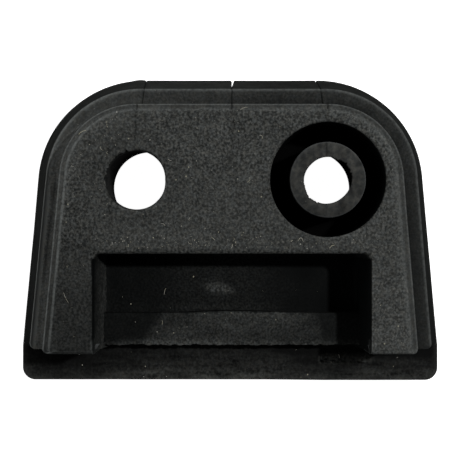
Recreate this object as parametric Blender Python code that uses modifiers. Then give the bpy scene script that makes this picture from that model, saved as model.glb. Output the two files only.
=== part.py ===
"""A moulded rubber armrest pad: an arched block that bolts on with its flat back against a chair's arm.

The pad lies on its back: +Z points out of the front face, +Y towards the arched end, and the origin is
the centre of the back's bounding rectangle. Every piece is drawn around the middle of the two holes, and
its location puts it in place. Five separate pieces make the pad up:

    rear_plate       the flat back plate, whose straight end stands out below the body as a bar
    stiffener_plate  a steel sheet let into the rear plate, around its two hole collars
    pad_body         the stepped block with its bolt hole, bush hole and pocket
    bolt_bush        a flanged tube that stands free in the bush hole, held by its flange
    pocket_strip     a packing strip on the floor of the pocket, along its open end
"""

import math

import bmesh
import bpy

MM = 0.001

# The two bolt holes set the shape: every outline is an offset of a frame drawn around them.
HOLE_PITCH = 40.0 * MM
HOLE_X = HOLE_PITCH / 2
SPLAY = math.radians(5.1)  # each long side leans out by this much, towards the straight end
LEFT_STRETCH = 1.011  # the left half is this much wider than the right
BLOCK_RIGHT_STRETCH = 0.989  # and the front block's right half is this much narrower

# Offsets of the outlines from the hole centres, from the back to the front
PLATE_RADIUS = 24.6 * MM
FLANK_FOOT_RADIUS = 24.25 * MM
RIM_RADIUS = 20.5 * MM
BLOCK_FOOT_RADIUS = 16.2 * MM
BLOCK_EDGE_RADIUS = 15.85 * MM
FACE_RADIUS = 14.6 * MM

# How far each outline reaches below the line through the holes
BAR_FOOT = 45.2 * MM
FLANK_FOOT = 37.3 * MM
RIM_FOOT = 36.3 * MM
BLOCK_FOOT = 36.0 * MM
FACE_FOOT = 34.9 * MM

# Heights above the back
PLATE_TOP = 8.8 * MM
RIM_TOP = 18.9 * MM
BLOCK_FOOT_TOP = 19.4 * MM
BLOCK_EDGE_TOP = 26.7 * MM
FACE_TOP = 27.5 * MM
GAP = 0.3 * MM  # between pieces that touch

# Bolt hole, bush hole and bush
BOLT_HOLE_RADIUS = 6.15 * MM
COUNTERBORE_RADIUS = 8.7 * MM
WEB_THICKNESS = 2.2 * MM  # of the front wall that the bolt hole goes through
BUSH_HOLE_RADIUS = 12.0 * MM
BUSH_RADIUS = 7.95 * MM
BUSH_FOOT_RADIUS = 8.6 * MM
BUSH_BORE_RADIUS = 5.1 * MM
BUSH_MOUTH_RADIUS = 7.6 * MM  # where the widening bore meets the back
BUSH_TOP = 27.2 * MM
BUSH_LIP_DEPTH = 2.0 * MM
FLANGE_RADIUS = 14.6 * MM
FLANGE_THICKNESS = 1.8 * MM

# Pocket and its strip
POCKET_WIDTH = 57.7 * MM
POCKET_TOP = 14.65 * MM  # below the line through the holes
POCKET_DEPTH = 15.0 * MM
POCKET_DRAFT = 0.25 * MM
POCKET_CORNER = 1.6 * MM
STRIP_HEIGHT = 7.5 * MM
STRIP_THICKNESS = 2.7 * MM
STRIP_INSET = 0.2 * MM  # from the body's straight end

# Stiffener
STEEL_RADIUS = 19.0 * MM
STEEL_FOOT = 33.0 * MM
STEEL_THICKNESS = 2.0 * MM
COLLAR_RADIUS = 10.4 * MM

CORNER_STEPS = 5
SHOULDER_STEPS = 18
HOLE_STEPS = 48


def arc(centre, radius, start, end, steps):
    """Points along an arc from one angle to another, both in degrees."""
    turns = [math.radians(start + (end - start) * i / steps) for i in range(steps + 1)]
    return [(centre[0] + radius * math.cos(t), centre[1] + radius * math.sin(t)) for t in turns]


def closed(right_half, left_stretch=LEFT_STRETCH, right_stretch=1.0):
    """The closed outline of a right half that runs from the foot up, and of its mirror image."""
    right = [(x * right_stretch, y) for x, y in right_half]
    return right + [(-x * left_stretch, y) for x, y in reversed(right_half)]


def side_x(radius, y):
    """Where the leaning side of the outline at this radius stands at height y."""
    tangent_x = HOLE_X + radius * math.cos(SPLAY)
    tangent_y = radius * math.sin(SPLAY)
    return tangent_x + (tangent_y - y) * math.tan(SPLAY)


def shoulder(radius):
    """The arched corner around the right hole's centre, from the leaning side to the straight top."""
    return arc((HOLE_X, 0), radius, math.degrees(SPLAY), 90, SHOULDER_STEPS)


def arched_outline(radius, foot, right_stretch=1.0, corner=1.2 * MM):
    """An outline with two shoulders, leaning sides and rounded corners at its straight end."""
    inset = corner * (1 + math.sin(SPLAY)) / math.cos(SPLAY)
    centre = (side_x(radius, -foot) - inset, corner - foot)
    lower_corner = arc(centre, corner, -90, math.degrees(SPLAY), CORNER_STEPS)
    return closed(lower_corner + shoulder(radius), right_stretch=right_stretch)


def plate_outline(radius, bar_corner=2.4 * MM):
    """The arched outline with a straight-ended bar below it."""
    kink = (side_x(radius, -FLANK_FOOT), -FLANK_FOOT)
    centre = (kink[0] - bar_corner, bar_corner - BAR_FOOT)
    return closed(arc(centre, bar_corner, -90, 0, CORNER_STEPS) + [kink] + shoulder(radius))


def pocket_outline(width, top, bottom, corner=POCKET_CORNER):
    """A rectangle, level with the holes in the middle, with its two upper corners rounded."""
    centre = (width / 2 - corner, top - corner)
    right_half = [(width / 2, bottom)] + arc(centre, corner, 0, 90, CORNER_STEPS)
    return closed(right_half, left_stretch=1.0)


# Where the middle of the two holes stands, so that the plate's outline is centred on the origin
PLATE_POINTS = plate_outline(PLATE_RADIUS)
MIDDLE_X = -(min(x for x, _ in PLATE_POINTS) + max(x for x, _ in PLATE_POINTS)) / 2
MIDDLE_Y = (BAR_FOOT - PLATE_RADIUS) / 2


def material(name, colour, roughness, metallic=0.0):
    made = bpy.data.materials.new(name)
    made.use_nodes = True
    shader = made.node_tree.nodes["Principled BSDF"]
    shader.inputs["Base Color"].default_value = (*colour, 1)
    shader.inputs["Roughness"].default_value = roughness
    shader.inputs["Metallic"].default_value = metallic
    return made


def collection(name):
    made = bpy.data.collections.new(name)
    bpy.context.scene.collection.children.link(made)
    return made


def add_object(name, mesh, group, finish=None, x=0):
    """An object placed from the middle of the two holes, x to the right of it."""
    made = bpy.data.objects.new(name, mesh)
    made.location = (MIDDLE_X + x, MIDDLE_Y, 0)
    group.objects.link(made)
    if finish:
        mesh.materials.append(finish)
    else:  # a cutter
        made.hide_render = True
        made.display_type = "WIRE"
    return made


def lofted(name, sections, group, finish=None):
    """A solid through outlines with equal numbers of points, given as (height, outline) from the back up."""
    shape = bmesh.new()
    rings = [[shape.verts.new((x, y, z)) for x, y in outline] for z, outline in sections]
    for lower, upper in zip(rings, rings[1:]):
        for i in range(len(lower)):
            j = (i + 1) % len(lower)
            shape.faces.new((lower[i], lower[j], upper[j], upper[i]))
    shape.faces.new(reversed(rings[0]))
    shape.faces.new(rings[-1])
    mesh = bpy.data.meshes.new(name)
    shape.to_mesh(mesh)
    shape.free()
    return add_object(name, mesh, group, finish)


def pierced(name, outline, holes, bottom, top, group, finish=None):
    """A flat plate with round holes on the line through the bolt holes, given as (x, radius)."""
    curve = bpy.data.curves.new(name, "CURVE")
    curve.dimensions = "2D"
    curve.fill_mode = "BOTH"
    curve.extrude = (top - bottom) / 2
    loops = [outline] + [arc((x, 0), radius, 0, 360, HOLE_STEPS)[:-1] for x, radius in holes]
    for points in loops:
        spline = curve.splines.new("POLY")
        spline.points.add(len(points) - 1)
        for point, (x, y) in zip(spline.points, points):
            point.co = (x, y, 0, 1)
        spline.use_cyclic_u = True
    flat = bpy.data.objects.new(name + "_curve", curve)
    bpy.context.scene.collection.objects.link(flat)
    bpy.context.view_layer.update()
    mesh = bpy.data.meshes.new_from_object(flat.evaluated_get(bpy.context.evaluated_depsgraph_get()))
    mesh.name = name
    bpy.data.objects.remove(flat)
    shape = bmesh.new()
    shape.from_mesh(mesh)
    bmesh.ops.remove_doubles(shape, verts=shape.verts, dist=0.001 * MM)
    bmesh.ops.recalc_face_normals(shape, faces=shape.faces)
    bmesh.ops.translate(shape, verts=shape.verts, vec=(0, 0, (top + bottom) / 2))
    shape.to_mesh(mesh)
    shape.free()
    return add_object(name, mesh, group, finish)


def turned(name, profile, x, group, finish=None):
    """A solid turned about the upright axis of a hole, from (radius, height) points down its outer side."""
    shape = bmesh.new()
    ring = [shape.verts.new((radius, 0, height)) for radius, height in profile]
    for start, end in zip(ring, ring[1:] + ring[:1]):
        shape.edges.new((start, end))
    mesh = bpy.data.meshes.new(name)
    shape.to_mesh(mesh)
    shape.free()
    made = add_object(name, mesh, group, finish, x)
    screw = made.modifiers.new("turn", "SCREW")
    screw.steps = HOLE_STEPS
    screw.render_steps = HOLE_STEPS
    screw.use_merge_vertices = True
    screw.merge_threshold = 0.01 * MM
    return made


def round_cutter(name, x, radius, bottom, top, group):
    shape = bmesh.new()
    bmesh.ops.create_cone(
        shape, cap_ends=True, segments=HOLE_STEPS, radius1=radius, radius2=radius, depth=top - bottom
    )
    bmesh.ops.translate(shape, verts=shape.verts, vec=(0, 0, (top + bottom) / 2))
    mesh = bpy.data.meshes.new(name)
    shape.to_mesh(mesh)
    shape.free()
    return add_object(name, mesh, group, x=x)


def cut(target, cutters):
    for cutter in cutters:
        boolean = target.modifiers.new(cutter.name, "BOOLEAN")
        boolean.operation = "DIFFERENCE"
        boolean.object = cutter


def soften(target, width, angle=40):
    """Rounds every edge sharper than the angle, in degrees."""
    bevel = target.modifiers.new("soft_edges", "BEVEL")
    bevel.width = width
    bevel.segments = 2
    bevel.limit_method = "ANGLE"
    bevel.angle_limit = math.radians(angle)


def make_rear_plate(parts, cutters, rubber):
    holes = [(-HOLE_X, COUNTERBORE_RADIUS), (HOLE_X, COUNTERBORE_RADIUS)]
    plate = pierced("rear_plate", PLATE_POINTS, holes, 0, PLATE_TOP, parts, rubber)
    soften(plate, 0.5 * MM)
    outline = arched_outline(STEEL_RADIUS + GAP, STEEL_FOOT + GAP)
    collars = [(-HOLE_X, COLLAR_RADIUS), (HOLE_X, COLLAR_RADIUS)]
    floor = PLATE_TOP - STEEL_THICKNESS - GAP
    cut(plate, [pierced("steel_recess", outline, collars, floor, PLATE_TOP + 1 * MM, cutters)])


def make_stiffener_plate(parts, steel):
    outline = arched_outline(STEEL_RADIUS, STEEL_FOOT)
    holes = [(-HOLE_X, COLLAR_RADIUS + GAP), (HOLE_X, COLLAR_RADIUS + GAP)]
    pierced("stiffener_plate", outline, holes, PLATE_TOP - STEEL_THICKNESS, PLATE_TOP, parts, steel)


def make_pad_body(parts, cutters, rubber):
    body = lofted(
        "pad_body",
        [
            (PLATE_TOP + GAP, arched_outline(FLANK_FOOT_RADIUS, FLANK_FOOT)),
            (RIM_TOP, arched_outline(RIM_RADIUS, RIM_FOOT)),
            (BLOCK_FOOT_TOP, arched_outline(BLOCK_FOOT_RADIUS, BLOCK_FOOT, BLOCK_RIGHT_STRETCH)),
            (BLOCK_EDGE_TOP, arched_outline(BLOCK_EDGE_RADIUS, BLOCK_FOOT, BLOCK_RIGHT_STRETCH)),
            (FACE_TOP, arched_outline(FACE_RADIUS, FACE_FOOT, BLOCK_RIGHT_STRETCH)),
        ],
        parts,
        rubber,
    )
    past = 1 * MM  # how far a cutter runs past the face it opens
    mouth = pocket_outline(POCKET_WIDTH, -POCKET_TOP, -BAR_FOOT)
    floor = pocket_outline(POCKET_WIDTH - 2 * POCKET_DRAFT, -POCKET_TOP - POCKET_DRAFT, -BAR_FOOT)
    flange_seat_top = PLATE_TOP + 2 * GAP + FLANGE_THICKNESS
    cut(
        body,
        [
            lofted("pocket", [(FACE_TOP - POCKET_DEPTH, floor), (FACE_TOP + past, mouth)], cutters),
            round_cutter("bolt_hole", -HOLE_X, BOLT_HOLE_RADIUS, 0, FACE_TOP + past, cutters),
            round_cutter("counterbore", -HOLE_X, COUNTERBORE_RADIUS, 0, FACE_TOP - WEB_THICKNESS, cutters),
            round_cutter("bush_hole", HOLE_X, BUSH_HOLE_RADIUS, 0, FACE_TOP + past, cutters),
            round_cutter("flange_seat", HOLE_X, FLANGE_RADIUS + GAP, 0, flange_seat_top, cutters),
        ],
    )


def make_bolt_bush(parts, rubber):
    back = PLATE_TOP + GAP
    edge = 0.4 * MM
    profile = [
        (BUSH_BORE_RADIUS, BUSH_TOP),
        (BUSH_RADIUS - edge, BUSH_TOP),
        (BUSH_RADIUS, BUSH_TOP - edge),
        (BUSH_FOOT_RADIUS, back + FLANGE_THICKNESS),
        (FLANGE_RADIUS, back + FLANGE_THICKNESS),
        (FLANGE_RADIUS, back),
        (BUSH_MOUTH_RADIUS, back),
        (BUSH_BORE_RADIUS, BUSH_TOP - BUSH_LIP_DEPTH),
    ]
    turned("bolt_bush", profile, HOLE_X, parts, rubber)


def make_pocket_strip(parts, rubber):
    bottom = STRIP_INSET - RIM_FOOT
    floor = FACE_TOP - POCKET_DEPTH + GAP
    width = POCKET_WIDTH - 2 * (POCKET_DRAFT + GAP)
    outline = pocket_outline(width, bottom + STRIP_HEIGHT, bottom, 0.8 * MM)
    strip = lofted("pocket_strip", [(floor, outline), (floor + STRIP_THICKNESS, outline)], parts, rubber)
    soften(strip, 0.3 * MM)


def shade(group):
    for made in group.objects:
        made.data.shade_smooth()
        made.data.set_sharp_from_angle(angle=math.radians(30))


def main():
    for old in list(bpy.data.objects):
        bpy.data.objects.remove(old)
    parts = collection("armrest_pad")
    cutters = collection("armrest_pad_cutters")
    grained = material("grained_rubber", (0.045, 0.047, 0.048), 0.85)
    smooth = material("smooth_rubber", (0.025, 0.026, 0.027), 0.6)
    steel = material("zinc_steel", (0.55, 0.56, 0.58), 0.35, 1.0)
    make_rear_plate(parts, cutters, smooth)
    make_stiffener_plate(parts, steel)
    make_pad_body(parts, cutters, grained)
    make_bolt_bush(parts, grained)
    make_pocket_strip(parts, smooth)
    shade(parts)


main()
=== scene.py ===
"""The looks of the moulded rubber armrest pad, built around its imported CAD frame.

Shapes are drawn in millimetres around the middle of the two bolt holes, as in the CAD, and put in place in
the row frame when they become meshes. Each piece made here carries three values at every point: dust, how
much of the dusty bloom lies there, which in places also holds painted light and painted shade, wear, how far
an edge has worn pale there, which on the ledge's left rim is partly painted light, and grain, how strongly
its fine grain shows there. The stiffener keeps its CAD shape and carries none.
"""

import math
import random

import bmesh
import bpy
import numpy as np
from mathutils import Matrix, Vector, noise
from mathutils.geometry import delaunay_2d_cdt


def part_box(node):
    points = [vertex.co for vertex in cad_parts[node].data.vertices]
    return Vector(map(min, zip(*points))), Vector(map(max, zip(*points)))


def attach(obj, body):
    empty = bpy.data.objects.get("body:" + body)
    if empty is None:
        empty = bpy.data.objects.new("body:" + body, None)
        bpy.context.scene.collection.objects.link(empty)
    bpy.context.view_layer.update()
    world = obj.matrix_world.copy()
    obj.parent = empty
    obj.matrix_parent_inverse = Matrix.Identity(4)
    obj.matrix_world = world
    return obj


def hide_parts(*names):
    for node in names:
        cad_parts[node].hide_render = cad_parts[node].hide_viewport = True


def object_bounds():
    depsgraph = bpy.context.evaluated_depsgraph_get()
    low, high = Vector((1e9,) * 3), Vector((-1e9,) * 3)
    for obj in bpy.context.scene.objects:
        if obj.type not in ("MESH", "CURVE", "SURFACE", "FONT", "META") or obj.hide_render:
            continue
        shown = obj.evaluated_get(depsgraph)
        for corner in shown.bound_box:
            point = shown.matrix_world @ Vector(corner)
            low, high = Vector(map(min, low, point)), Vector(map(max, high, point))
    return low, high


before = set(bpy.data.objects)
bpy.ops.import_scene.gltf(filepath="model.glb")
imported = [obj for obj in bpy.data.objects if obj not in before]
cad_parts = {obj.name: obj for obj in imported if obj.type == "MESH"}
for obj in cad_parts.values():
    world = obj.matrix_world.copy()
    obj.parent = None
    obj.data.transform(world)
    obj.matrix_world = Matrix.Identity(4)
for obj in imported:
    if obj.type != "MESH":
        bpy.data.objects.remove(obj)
CAD_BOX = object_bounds()

MM = 0.001

# Sizes that the frame doesn't give, the same as in the CAD unless a comment says otherwise
HOLE_X = 20.0  # each bolt hole's distance from the middle of the two
SPLAY = 5.1  # degrees that the long sides lean out
LEAN = math.radians(SPLAY)
LEFT_STRETCH = 1.011
BLOCK_RIGHT_STRETCH = 0.9915  # the CAD has 0.989
PLATE_RADIUS = 24.6
BAR_FOOT = 45.2
BAR_CORNER = 2.95  # a little more than in the CAD
FLANK_FOOT = 37.3
COUNTERBORE_RADIUS = 8.7
WEB_THICKNESS = 2.2
BOLT_HOLE_RADIUS = 6.15
BUSH_HOLE_RADIUS = 12.0
BUSH_BORE_RADIUS = 5.1
FLANGE_RADIUS = 14.6
FLANGE_THICKNESS = 1.8
POCKET_WIDTH = 57.7
POCKET_TOP = 15.4  # more than in the CAD, as a broad rounded rim leads down to this wall
POCKET_DEPTH = 15.0
GAP = 0.3


def heights(node):
    """The lowest and highest points of a CAD node, in millimetres."""
    low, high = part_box(node)
    return low.z / MM, high.z / MM


PLATE_TOP = heights("rear_plate")[1]
FACE_TOP = heights("pad_body")[1]
BUSH_FOOT, BUSH_TOP = heights("bolt_bush")
STRIP_FOOT, STRIP_TOP = heights("pocket_strip")
BUSH_LOW, BUSH_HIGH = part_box("bolt_bush")
MIDDLE = np.array(((BUSH_LOW.x + BUSH_HIGH.x) / 2 / MM - HOLE_X, (BUSH_LOW.y + BUSH_HIGH.y) / 2 / MM, 0))
FLANGE_TOP = BUSH_FOOT + FLANGE_THICKNESS
POCKET_FLOOR = FACE_TOP - POCKET_DEPTH

BLOCK_HEIGHT = 19.1  # above this the outlines belong to the front block
KEY_PLACE = np.array((200.0, 69.0, 387.5))  # where the key light hangs

# The mould's parting lines cross the arched end at the holes and in the middle
SEAM_X = 19.7
SEAM_STEPS = (0.09, 0.18, 0.32)
SEAM_DEPTHS = (0.55, 0.1, 0.0)  # a groove's share of its full depth at each of those steps from its middle
SEAM_DEPTH = 0.16


# ---------------- outlines


def arc(centre, radius, start, end, steps):
    """Points along an arc from one angle to another, both in degrees."""
    turns = [math.radians(start + (end - start) * i / steps) for i in range(steps + 1)]
    return [(centre[0] + radius * math.cos(t), centre[1] + radius * math.sin(t)) for t in turns]


def straight(start, end, steps):
    """Points from start towards end, without end."""
    shares = [i / steps for i in range(steps)]
    return [(start[0] + (end[0] - start[0]) * t, start[1] + (end[1] - start[1]) * t) for t in shares]


def side_x(radius, y):
    """Where the leaning side of the outline at this radius stands, at this y."""
    return HOLE_X + radius * math.cos(LEAN) + (radius * math.sin(LEAN) - y) * math.tan(LEAN)


def seam_x(radius):
    """How far the outer parting lines stand from the middle: they lean inwards up to the rim."""
    return SEAM_X - np.interp(radius, (16.3, 20.4, 24), (-0.1, 0.45, 0.1))


def arched_top(radius):
    """The right shoulder and half the top, with close points across the parting lines."""
    seam = float(seam_x(radius))
    level = [(x, radius) for x in (HOLE_X, seam + SEAM_STEPS[1], seam + SEAM_STEPS[0], seam)]
    level += [(seam - step, radius) for step in SEAM_STEPS]
    level += straight((seam - 0.8, radius), (0.8, radius), 34)
    level += [(step, radius) for step in reversed(SEAM_STEPS)]
    return arc((HOLE_X, 0), radius, SPLAY, 90, 76)[:-1] + level + [(0, radius)]


def closed(right_half, right_stretch=1.0, left_stretch=LEFT_STRETCH):
    """The closed outline of a right half, from middle line to middle line, and its mirror image."""
    right = [(x * right_stretch, y) for x, y in right_half]
    return np.array(right + [(-x * left_stretch, y) for x, y in right_half[-2:0:-1]])


def arched_outline(radius, foot, corner=1.2, right_stretch=1.0):
    """Straight at the foot, with rounded corners, leaning sides and an arched top."""
    centre = (side_x(radius, -foot) - corner * (1 + math.sin(LEAN)) / math.cos(LEAN), corner - foot)
    half = straight((0, -foot), (centre[0], -foot), 50)
    half += arc(centre, corner, -90, SPLAY, 10)[:-1]
    corner_end = (centre[0] + corner * math.cos(LEAN), centre[1] + corner * math.sin(LEAN))
    top = arched_top(radius)
    return closed(half + straight(corner_end, top[0], 70) + top, right_stretch)


def plate_outline(radius, foot, corner):
    """The arched outline with a straight-ended bar below it."""
    kink = (side_x(radius, -FLANK_FOOT), -FLANK_FOOT)
    centre = (kink[0] - corner, corner - foot)
    half = straight((0, -foot), (centre[0], -foot), 70)
    half += arc(centre, corner, -90, 0, 14)
    top = arched_top(radius)
    return closed(half + straight((kink[0], centre[1] + 0.5), kink, 8) + straight(kink, top[0], 70) + top)


def seam_weights(outline, radius):
    """How deep the parting lines are cut at each point of an outline, from 0 to 1."""
    x, y = np.abs(outline[:, 0]), outline[:, 1]
    weights = np.zeros(len(outline))
    for seam in (0.0, float(seam_x(radius))):
        away = np.abs(x / np.where(outline[:, 0] < 0, LEFT_STRETCH, 1.0) - seam)
        weights = np.maximum(weights, np.interp(away, (0, *SEAM_STEPS), (1, *SEAM_DEPTHS)))
    return weights * (y > 0)


# ---------------- meshes


def add_object(name, data):
    made = bpy.data.objects.new(name, data)
    bpy.context.scene.collection.objects.link(made)
    return made


def add_piece(name, points, faces):
    """A mesh object from points around the middle of the holes, with its faces outwards."""
    mesh = bpy.data.meshes.new(name)
    mesh.from_pydata(((np.asarray(points) + MIDDLE) * MM).tolist(), [], faces)
    shape = bmesh.new()
    shape.from_mesh(mesh)
    bmesh.ops.recalc_face_normals(shape, faces=shape.faces)
    shape.to_mesh(mesh)
    shape.free()
    return add_object(name, mesh)


def at_height(outline, z):
    return np.column_stack((outline, np.full(len(outline), z)))


def walls(rings, sides, looped=False):
    """Quads between neighbouring rings of points, and back to the first ring if looped."""
    faces = []
    for lower in range(rings if looped else rings - 1):
        upper = (lower + 1) % rings
        for i in range(sides):
            j = (i + 1) % sides
            faces.append((lower * sides + i, lower * sides + j, upper * sides + j, upper * sides + i))
    return faces


def capped(rings, sides):
    """The walls of a closed solid, with one face over each end."""
    last = (rings - 1) * sides
    return walls(rings, sides) + [list(range(sides)), list(range(last, last + sides))]


def filled(ring, inner, first, new_first):
    """Triangles over a ring and points inside it, which are numbered from first and new_first."""
    sides = len(ring)
    points = [Vector(p[:2]) for p in ring] + [Vector(p[:2]) for p in inner]
    edges = [(i, (i + 1) % sides) for i in range(sides)]
    found = delaunay_2d_cdt(points, edges, [], 1, 1e-6)
    origins = [origin[0] for origin in found[3]]
    number = [first + i if i < sides else new_first + i - sides for i in origins]
    return [[number[i] for i in face] for face in found[2]]


def lofted(name, rings, inner_top=(), inner_foot=()):
    """A closed solid through rings of points, with its ends filled."""
    sides = len(rings[0])
    points = np.concatenate(rings + [np.array(list(inner_top) + list(inner_foot)).reshape(-1, 3)])
    new_first = len(rings) * sides
    faces = walls(len(rings), sides)
    faces += filled(rings[-1], inner_top, new_first - sides, new_first)
    faces += filled(rings[0], inner_foot, 0, new_first + len(inner_top))
    return add_piece(name, points, faces)


def turned_rings(profile, x, sides, warp=None):
    """Rings around a hole's axis, through (radius, height) points; warp can change the radius."""
    turns = np.arange(sides) / sides * math.tau
    rings = []
    for radius, z in profile:
        radii = np.full(sides, float(radius))
        if warp:
            radii = radii + warp(turns, radius, z)
        rings.append(np.column_stack((x + radii * np.cos(turns), radii * np.sin(turns), np.full(sides, z))))
    return rings


def carve(piece, cutters):
    """Cuts the cutters out of the piece, and removes them."""
    for cutter in cutters:
        modifier = piece.modifiers.new(cutter.name, "BOOLEAN")
        modifier.operation = "DIFFERENCE"
        modifier.object = cutter
    bpy.context.view_layer.update()
    mesh = bpy.data.meshes.new_from_object(piece.evaluated_get(bpy.context.evaluated_depsgraph_get()))
    piece.modifiers.clear()
    piece.data = mesh
    for cutter in cutters:
        bpy.data.objects.remove(cutter)


def read(mesh, name):
    """A vector of each of the mesh's points."""
    values = np.empty(len(mesh.vertices) * 3)
    mesh.vertices.foreach_get(name, values)
    return values.reshape(-1, 3)


def points_of(mesh):
    """The mesh's points, in millimetres around the middle of the holes."""
    return read(mesh, "co") / MM - MIDDLE


def move_points(mesh, points):
    mesh.vertices.foreach_set("co", ((points + MIDDLE) * MM).astype(np.float32).ravel())
    mesh.update()


def rough(points, wavelength, seed=0.0):
    """Smooth noise between about -1 and 1, with bumps about a wavelength across."""
    shift = np.array((seed * 17.3, seed * 5.1, seed * 9.7))
    return np.array([noise.noise(Vector(p)) for p in points / wavelength + shift])


def ramp(values, start, end):
    """0 up to start and 1 from end on, evenly between them; end may be the smaller."""
    return np.clip((values - start) / (end - start), 0, 1)


def near(values, centre, width):
    """1 at the centre, falling off smoothly on both sides."""
    return np.exp(-(((values - centre) / width) ** 2))


def askew(x, y, z):
    """How far the front stands to the right, slightly turned on its plate."""
    return 0.0065 * np.clip(y + 36, 0, 38) * ramp(np.abs(x), 0, HOLE_X) * ramp(z, PLATE_TOP, 18)


def reach(points):
    """How far out each point is from the line between the holes, like an outline's radius."""
    right_stretch = np.where(points[:, 2] > BLOCK_HEIGHT, BLOCK_RIGHT_STRETCH, 1.0)
    stretch = np.where(points[:, 0] < 0, LEFT_STRETCH, right_stretch)
    x, y = np.abs(points[:, 0] - askew(*points.T)) / stretch - HOLE_X, points[:, 1]
    side = (x + y * math.tan(LEAN)) * math.cos(LEAN)
    return np.where(y > x * math.tan(LEAN), np.hypot(np.maximum(x, 0), y), side)


def soften_surface(piece, amount=0.03):
    """The slight unevenness of a rubber moulding."""
    mesh = piece.data
    points, normals = points_of(mesh), read(mesh, "normal")
    uneven = rough(points, 9.0, 1) + 0.35 * rough(points, 2.2, 2)
    move_points(mesh, points + normals * (uneven * amount)[:, None])


def bending(mesh):
    """How sharply the surface bends outwards at each point, in 1/mm, over the edges there."""
    points, normals = points_of(mesh), read(mesh, "normal")
    ends = np.empty(len(mesh.edges) * 2, int)
    mesh.edges.foreach_get("vertices", ends)
    ends = ends.reshape(-1, 2)
    run = points[ends[:, 0]] - points[ends[:, 1]]
    length = np.maximum((run**2).sum(1), 0.03**2)
    most = np.zeros(len(points))
    np.maximum.at(most, ends[:, 0], 2 * (normals[ends[:, 0]] * run).sum(1) / length)
    np.maximum.at(most, ends[:, 1], -2 * (normals[ends[:, 1]] * run).sum(1) / length)
    return most


def store(mesh, name, values):
    mesh.attributes.new(name, "FLOAT", "POINT").data.foreach_set("value", np.asarray(values, np.float32))


def nothing(points, _):
    """No dust, or no wear."""
    return np.zeros(len(points))


SHARP_ANGLE = 38  # edges that bend by more degrees than this are shaded sharp


def finish_piece(piece, material, node, dust, wear=None, grain=None):
    """Shades a piece, stores what its material reads, and makes it stand for its CAD node."""
    mesh = piece.data
    mesh.materials.clear()
    mesh.materials.append(material)
    mesh.shade_smooth()
    mesh.set_sharp_from_angle(angle=math.radians(SHARP_ANGLE))
    points, normals = points_of(mesh), read(mesh, "normal")
    bend = np.clip(bending(mesh) * 0.3, 0, 1)
    store(mesh, "wear", wear(points, bend) if wear else bend * 0.5)
    store(mesh, "dust", dust(points, normals))
    store(mesh, "grain", grain(points) if grain else np.ones(len(points)))
    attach(piece, "root")
    if node:
        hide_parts(node)


# ---------------- materials


def fill_in(tree, sockets, inputs):
    """Links or sets a node's inputs, by name or number."""
    for key, value in inputs.items():
        if isinstance(value, bpy.types.NodeSocket):
            tree.links.new(value, sockets[key])
        else:
            sockets[key].default_value = value


def add_node(tree, kind, inputs, **settings):
    made = tree.nodes.new("ShaderNode" + kind)
    for key, value in settings.items():
        setattr(made, key, value)
    fill_in(tree, made.inputs, inputs)
    return made


def add_sum(tree, operation, first, second):
    return add_node(tree, "Math", {0: first, 1: second}, operation=operation).outputs[0]


class Surface:
    """A Principled material whose node tree is built up by short calls."""

    def __init__(self, name):
        self.material = bpy.data.materials.new(name)
        self.material.use_nodes = True
        self.tree = self.material.node_tree
        self.shader = self.tree.nodes["Principled BSDF"]
        self.place = self.tree.nodes.new("ShaderNodeTexCoord").outputs["Object"]

    def node(self, kind, inputs, **settings):
        return add_node(self.tree, kind, inputs, **settings)

    def value(self, name):
        """One of the values stored at the mesh's points."""
        return self.node("Attribute", {}, attribute_name=name).outputs["Fac"]

    def noise(self, wavelength, detail=3.0, roughness=0.6, stretch=(1, 1, 1), turn=0.0):
        """Noise with lumps about a wavelength across, stretched after a turn in degrees."""
        settings = {"Vector": self.place, "Scale": stretch, "Rotation": (0, 0, math.radians(turn))}
        place = self.node("Mapping", settings).outputs["Vector"]
        inputs = {"Vector": place, "Scale": 1 / (wavelength * MM), "Detail": detail, "Roughness": roughness}
        return self.node("TexNoise", inputs).outputs["Fac"]

    def math(self, operation, first, second):
        return add_sum(self.tree, operation, first, second)

    def times(self, first, second):
        return self.math("MULTIPLY", first, second)

    def fit(self, value, low, high, to_low=0.0, to_high=1.0):
        """The value's stretch from low to high, turned into to_low to to_high."""
        inputs = {"Value": value, "From Min": low, "From Max": high, "To Min": to_low, "To Max": to_high}
        return self.node("MapRange", inputs, clamp=True).outputs["Result"]

    def mix(self, share, first, second):
        first, second = (c if isinstance(c, bpy.types.NodeSocket) else (*c, 1) for c in (first, second))
        return self.node("Mix", {0: share, 6: first, 7: second}, data_type="RGBA").outputs[2]

    def specks(self, spacing, size, share, shown):
        """Small round specks in a share of the cells of that spacing, where they show."""
        cells = self.node("TexVoronoi", {"Vector": self.place, "Scale": 1 / (spacing * MM)}).outputs
        inside = self.fit(cells["Distance"], size / spacing, size / spacing * 0.6)
        chance = self.node("SeparateColor", {"Color": cells["Color"]}).outputs["Red"]
        return self.times(self.times(inside, self.math("LESS_THAN", chance, share)), shown)

    def bump(self, height, distance, under=None):
        inputs = {"Height": height, "Distance": distance * MM, "Strength": 1.0}
        if under:
            inputs["Normal"] = under
        return self.node("Bump", inputs).outputs["Normal"]

    def set(self, **inputs):
        named = {key.replace("_", " "): value for key, value in inputs.items()}
        fill_in(self.tree, self.shader.inputs, named)


DUST_RANGE = 4.0  # the most that the dust value can lay on


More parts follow.
